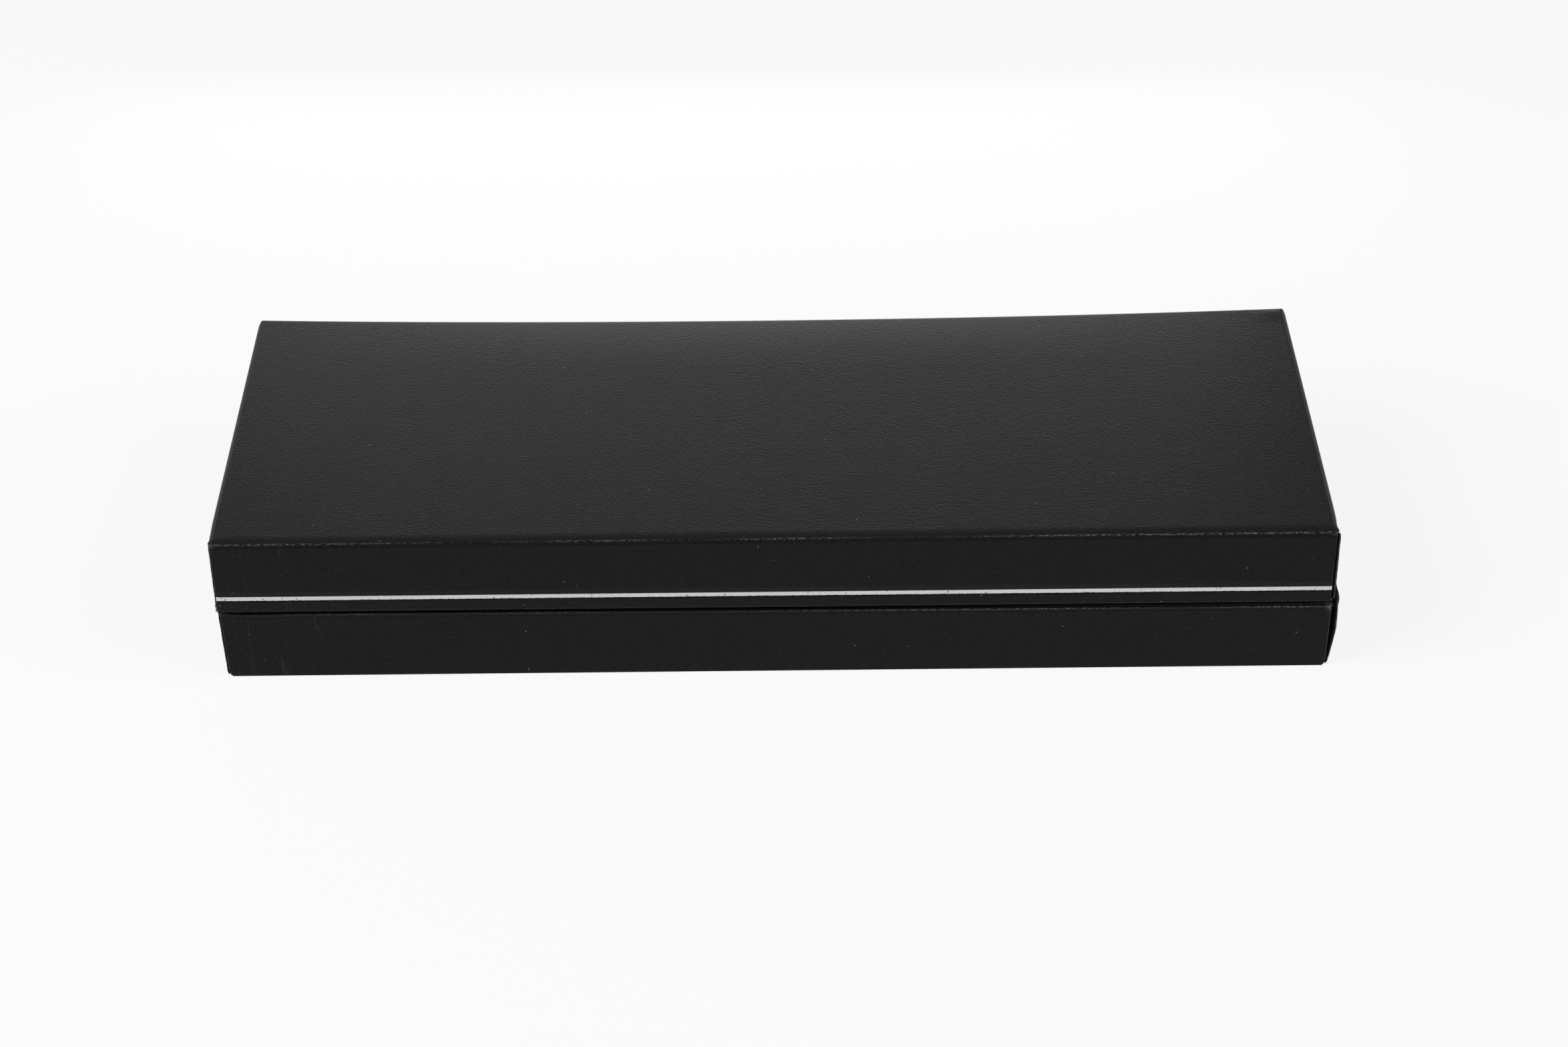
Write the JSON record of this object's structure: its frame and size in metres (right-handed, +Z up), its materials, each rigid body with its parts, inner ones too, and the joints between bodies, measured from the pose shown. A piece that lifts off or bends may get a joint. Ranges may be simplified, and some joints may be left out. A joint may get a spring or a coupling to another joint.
{
  "type": "pen box",
  "caption": "Low rectangular leatherette presentation box for pens, with a silver line on its front and a lid that swings up on a snap hinge along the back.",
  "frame": {"origin": "on the table, under the middle of the box", "axes": "+X along the length to the right of a person facing the front, -Y out of the front, +Z up"},
  "size_m": [0.178, 0.068, 0.026],
  "materials": {
    "leatherette": "satin",
    "silver_foil": "satin",
    "moulded_shell": "matte",
    "black_paper": "matte",
    "collar_card": "matte",
    "flock": "matte",
    "hinge_steel": "satin",
    "spring_steel": "satin",
    "liner_card": "matte",
    "foam": "matte",
    "satin": "satin"
  },
  "bodies": {
    "base": {"base_shell": "moulded_shell", "base_wrap": "leatherette", "base_end_cover_left": "leatherette", "base_end_cover_right": "leatherette", "base_bottom_sheet": "black_paper", "collar_front": "collar_card", "collar_left": "collar_card", "collar_right": "collar_card", "pen_bed": "flock", "hinge_leaf_base": "hinge_steel", "hinge_pin": "hinge_steel", "bow_spring_left": "spring_steel", "bow_spring_right": "spring_steel", "base_hinge_rivets": "hinge_steel"},
    "lid": {"lid_shell": "moulded_shell", "lid_wrap": "leatherette", "lid_end_cover_left": "leatherette", "lid_end_cover_right": "leatherette", "foil_stripe": "silver_foil", "lid_liner_board": "liner_card", "lid_pad_foam": "foam", "lid_pad_satin": "satin", "hinge_leaf_lid": "hinge_steel", "lid_hinge_rivets": "hinge_steel"}
  },
  "joints": [
    {"name": "lid_hinge", "type": "hinge", "parent": "base", "child": "lid", "pos_m": [0, 0.0325, 0.0128], "axis": [-1, 0, 0], "range_deg": [0, 100], "deforming": ["bow_spring_left", "bow_spring_right"]}
  ]
}
